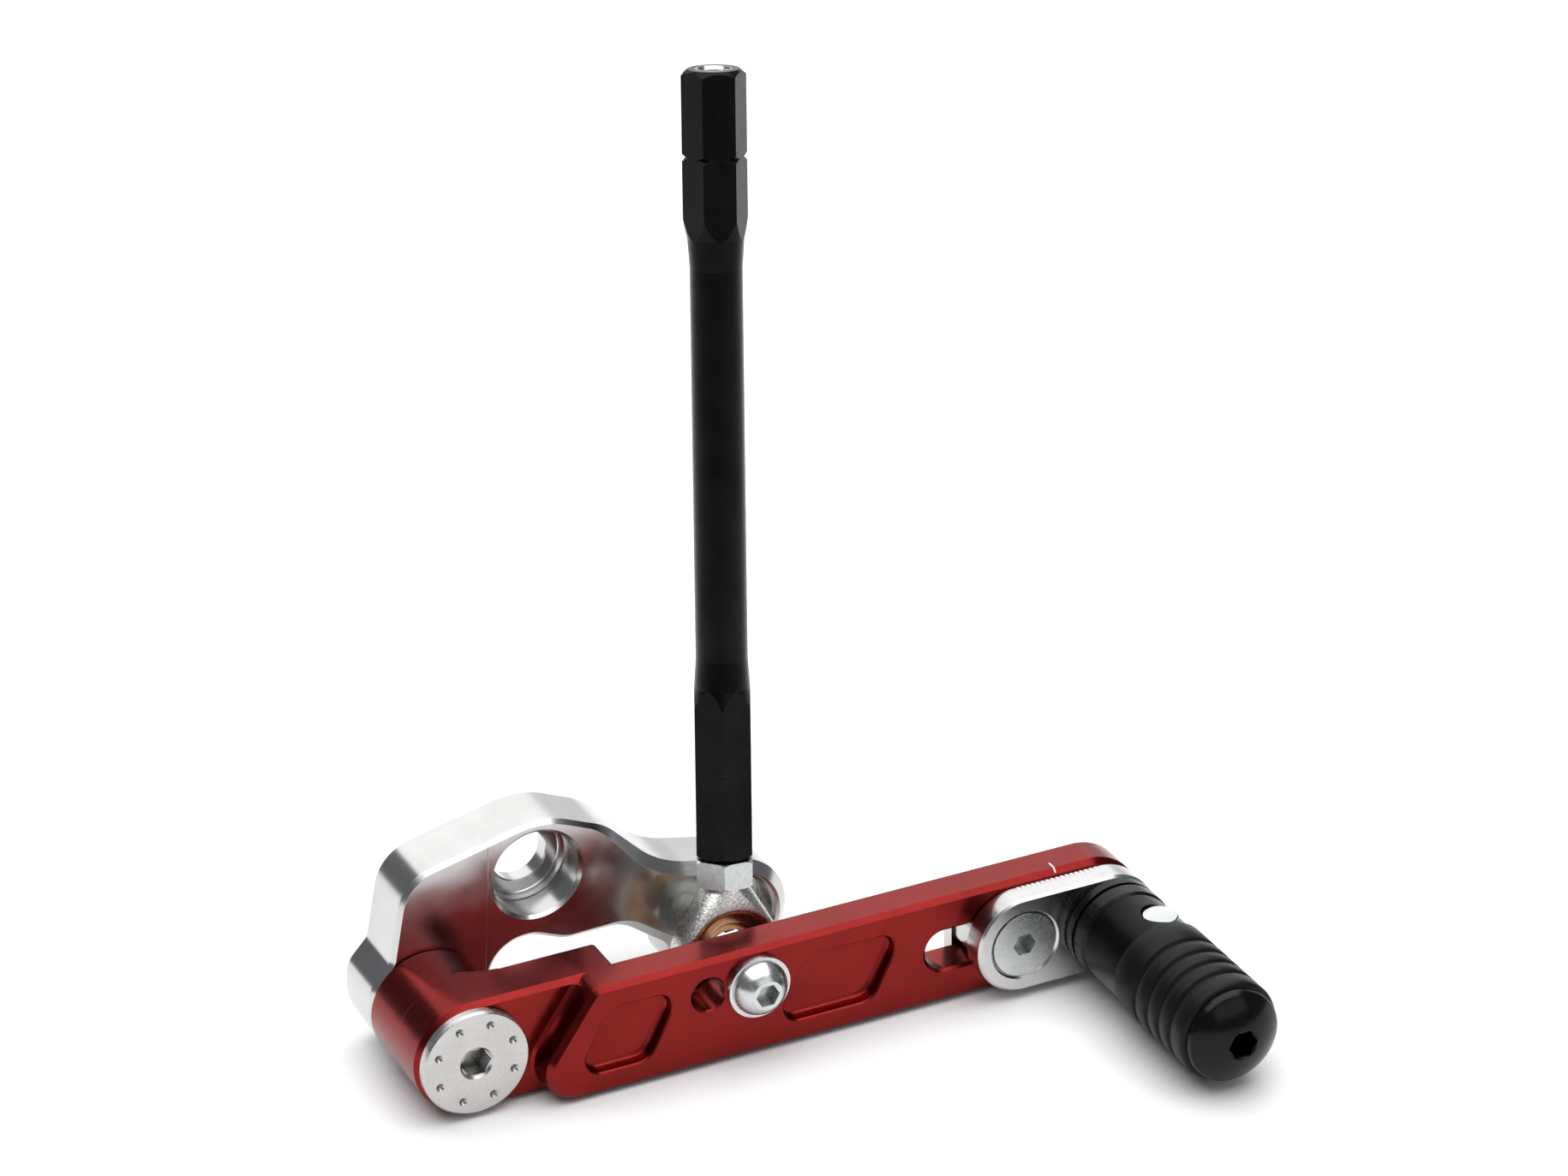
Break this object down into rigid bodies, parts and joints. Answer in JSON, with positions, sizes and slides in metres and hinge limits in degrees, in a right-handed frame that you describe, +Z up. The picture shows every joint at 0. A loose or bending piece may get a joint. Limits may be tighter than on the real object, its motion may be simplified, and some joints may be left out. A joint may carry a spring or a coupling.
{
  "type": "motorcycle gear shift lever",
  "caption": "Gear shift lever on a counterbored bracket plate, with a rod end and long link rod, and a toe peg that slides along a slot and folds.",
  "frame": {"origin": "axis of the upper M10 mounting hole, on the rear face of the bracket plate", "axes": "+X along the lever towards the toe peg, +Y inboard towards the motorcycle's frame, +Z up"},
  "size_m": [0.1427, 0.1023, 0.1722],
  "materials": {
    "bare_aluminium": "satin machined",
    "bolt_head": "fine satin",
    "steel": "satin",
    "bearing_steel": "polished",
    "brass_cage": "satin",
    "red_anodised": "satin red anodised",
    "zinc": "zinc plated",
    "dark_steel": "rough forged and plated",
    "bronze": "satin bronze",
    "black_anodised": "satin black anodised",
    "grip_black": "matte",
    "gloss_black": "gloss"
  },
  "bodies": {
    "bracket": {"bracket_plate": "bare_aluminium", "pivot_bolt": "bolt_head", "front_shim": "steel", "rear_shim": "steel", "bearing_spacer": "steel", "front_inner_ring": "bearing_steel", "rear_inner_ring": "bearing_steel"},
    "ball_sets": {"front_balls": "bearing_steel", "rear_balls": "bearing_steel", "front_cage": "brass_cage", "rear_cage": "brass_cage"},
    "lever": {"shift_lever": "red_anodised", "front_outer_ring": "bearing_steel", "rear_outer_ring": "bearing_steel", "bearing_shields": "steel", "button_screw": "zinc", "screw_washer": "zinc", "ball_spacer": "zinc", "ball_nut": "zinc"},
    "rod_ball": {"rod_end_ball": "bearing_steel"},
    "rod_end": {"rod_end_housing": "dark_steel", "race_liner": "bronze"},
    "rod": {"link_rod": "black_anodised", "jam_nut": "zinc"},
    "carriage": {"link_plate": "bare_aluminium", "clamp_screw": "zinc", "slot_nut": "bare_aluminium", "peg_base": "black_anodised", "peg_base_screw": "zinc"},
    "tip": {"peg_tip": "black_anodised", "fold_pin": "zinc", "grip_sleeve": "grip_black", "end_cap": "gloss_black", "fold_plunger": "zinc", "fold_spring": "steel"}
  },
  "joints": [
    {"name": "lever_pivot", "type": "hinge", "parent": "bracket", "child": "lever", "pos_m": [-0.0226, 0, -0.0202], "axis": [0, 1, 0], "range_deg": [-15, 15]},
    {"name": "balls_roll", "type": "hinge", "parent": "bracket", "child": "ball_sets", "pos_m": [-0.0226, 0, -0.0202], "axis": [0, 1, 0], "range_deg": [-9, 9]},
    {"name": "rod_swing", "type": "hinge", "parent": "lever", "child": "rod_ball", "pos_m": [0.0303, -0.0261, -0.01685], "axis": [0, 1, 0], "range_deg": [-20, 20]},
    {"name": "rod_tilt", "type": "hinge", "parent": "rod_ball", "child": "rod_end", "pos_m": [0.0303, -0.0261, -0.01685], "axis": [0.995, 0, -0.1002], "range_deg": [-2, 18]},
    {"name": "rod_adjust", "type": "slide", "parent": "rod_end", "child": "rod", "axis": [0.0983, 0.1908, 0.9767], "range_m": [0, 0.006]},
    {"name": "peg_slide", "type": "slide", "parent": "lever", "child": "carriage", "axis": [1, 0, 0], "range_m": [-0.008, 0.008]},
    {"name": "peg_fold", "type": "hinge", "parent": "carriage", "child": "tip", "pos_m": [0.1016, -0.0586, -0.0202], "axis": [0, 0, 1], "range_deg": [0, 90]}
  ],
  "couplings": [
    {"joint": "balls_roll", "follows": "lever_pivot", "ratio": 0.587}
  ]
}
